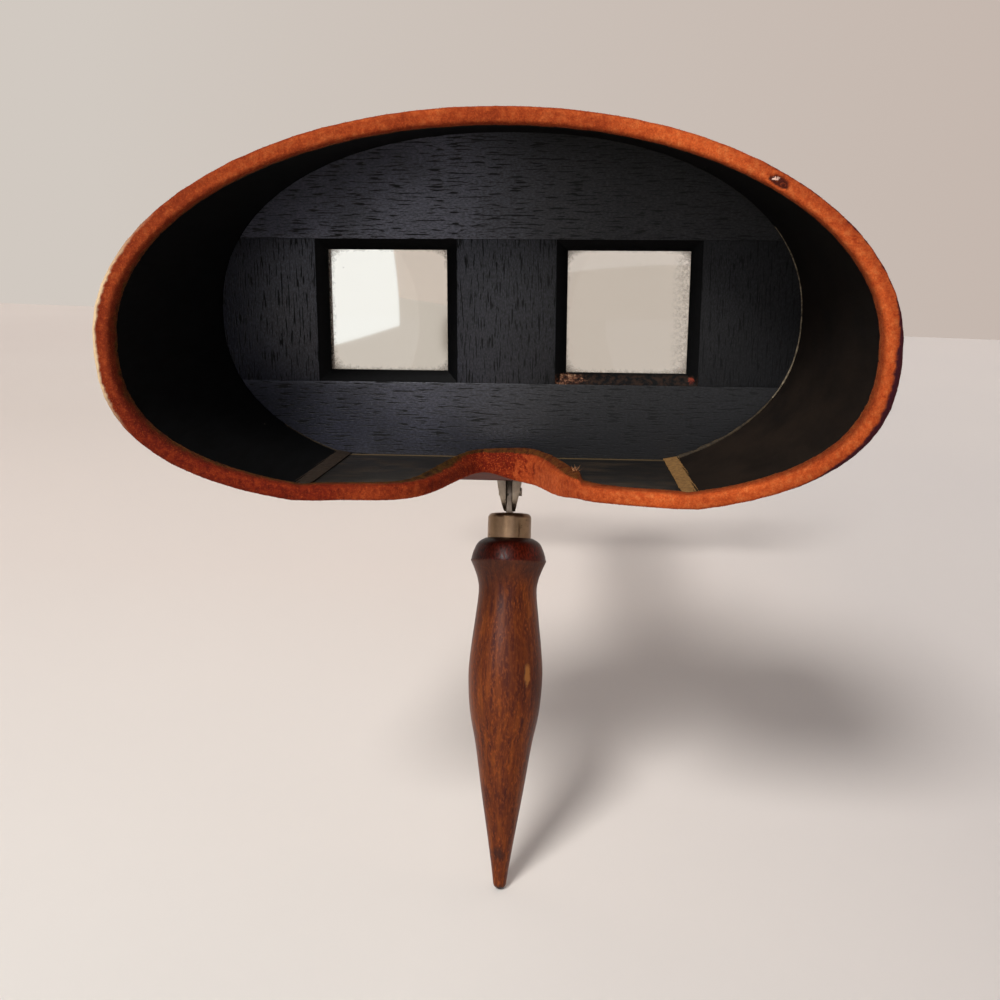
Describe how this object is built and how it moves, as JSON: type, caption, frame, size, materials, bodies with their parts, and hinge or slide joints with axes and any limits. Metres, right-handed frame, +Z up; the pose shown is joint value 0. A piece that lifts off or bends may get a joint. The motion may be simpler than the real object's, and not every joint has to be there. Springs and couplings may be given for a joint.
{
  "type": "handheld stereoscope",
  "caption": "Wooden stereoscope with a velvet-bound oval eye hood, square lenses, folding turned handle and a wire card holder sliding on a long bar.",
  "frame": {"origin": "middle of the hand grip, on the handle's axis", "axes": "+Y is the viewing direction along the bar, +X to the viewer's right, +Z up"},
  "size_m": [0.18, 0.3237, 0.2102],
  "materials": {
    "varnished_wall": "bent hardwood, dark red-brown varnish outside and black paint inside",
    "floor_wood": "hardwood panel, black paint above and varnish below",
    "velvet": "orange-red cotton velvet, worn at the nose",
    "glue_strip": "brown linen strip soaked with glue",
    "black_wood": "open-grained hardwood, satin black paint",
    "bezel_black": "black painted mitred moulding",
    "lens_glass": "clear old crown glass",
    "keeper_wood": "thin varnished wood",
    "brass_pins": "tarnished brass",
    "septum_wood": "black painted thin wood",
    "bar_wood": "hardwood, red-brown varnish",
    "block_wood": "hardwood with the grain across, red-brown varnish",
    "hinge_metal": "worn nickel plate on cast brass",
    "ferrule_metal": "worn nickel plate on drawn brass",
    "handle_wood": "turned hardwood, worn red-brown varnish",
    "ledge_wood": "hardwood, red-brown varnish",
    "spring_brass": "hard brass strip",
    "plate_brass": "sheet brass",
    "wire_steel": "drawn wire, dulled plating"
  },
  "bodies": {
    "handle": {"handle_tang": "hinge_metal", "ferrule": "ferrule_metal", "handle_grip": "handle_wood"},
    "viewer_frame": {"hood_shell": "varnished_wall", "hood_floor": "floor_wood", "velvet_binding": "velvet", "corner_strip_left": "glue_strip", "corner_strip_right": "glue_strip", "top_rail": "black_wood", "bottom_rail": "black_wood", "left_stile": "black_wood", "centre_stile": "black_wood", "right_stile": "black_wood", "bezel_left": "bezel_black", "bezel_right": "bezel_black", "lens_left": "lens_glass", "lens_right": "lens_glass", "lens_keeper_left": "keeper_wood", "lens_keeper_right": "keeper_wood", "keeper_pins": "brass_pins", "hood_pins": "brass_pins", "septum": "septum_wood", "bar": "bar_wood", "bar_block": "block_wood", "bar_stop": "brass_pins", "hinge_plate": "hinge_metal", "hinge_screws": "brass_pins", "hinge_pin": "hinge_metal"},
    "card_holder": {"card_ledge": "ledge_wood", "runner_left": "ledge_wood", "runner_right": "ledge_wood", "slide_spring": "spring_brass", "under_plate": "plate_brass", "slide_screws": "brass_pins", "wire_front_left": "wire_steel", "wire_front_right": "wire_steel", "wire_back_left": "wire_steel", "wire_back_right": "wire_steel"}
  },
  "joints": [
    {"name": "handle_fold", "type": "hinge", "parent": "handle", "child": "viewer_frame", "pos_m": [0, 0.01854, 0.05706], "axis": [-1, 0, 0], "range_deg": [0, 90]},
    {"name": "card_slide", "type": "slide", "parent": "viewer_frame", "child": "card_holder", "axis": [0, 1, 0], "range_m": [-0.13, 0.002]}
  ]
}
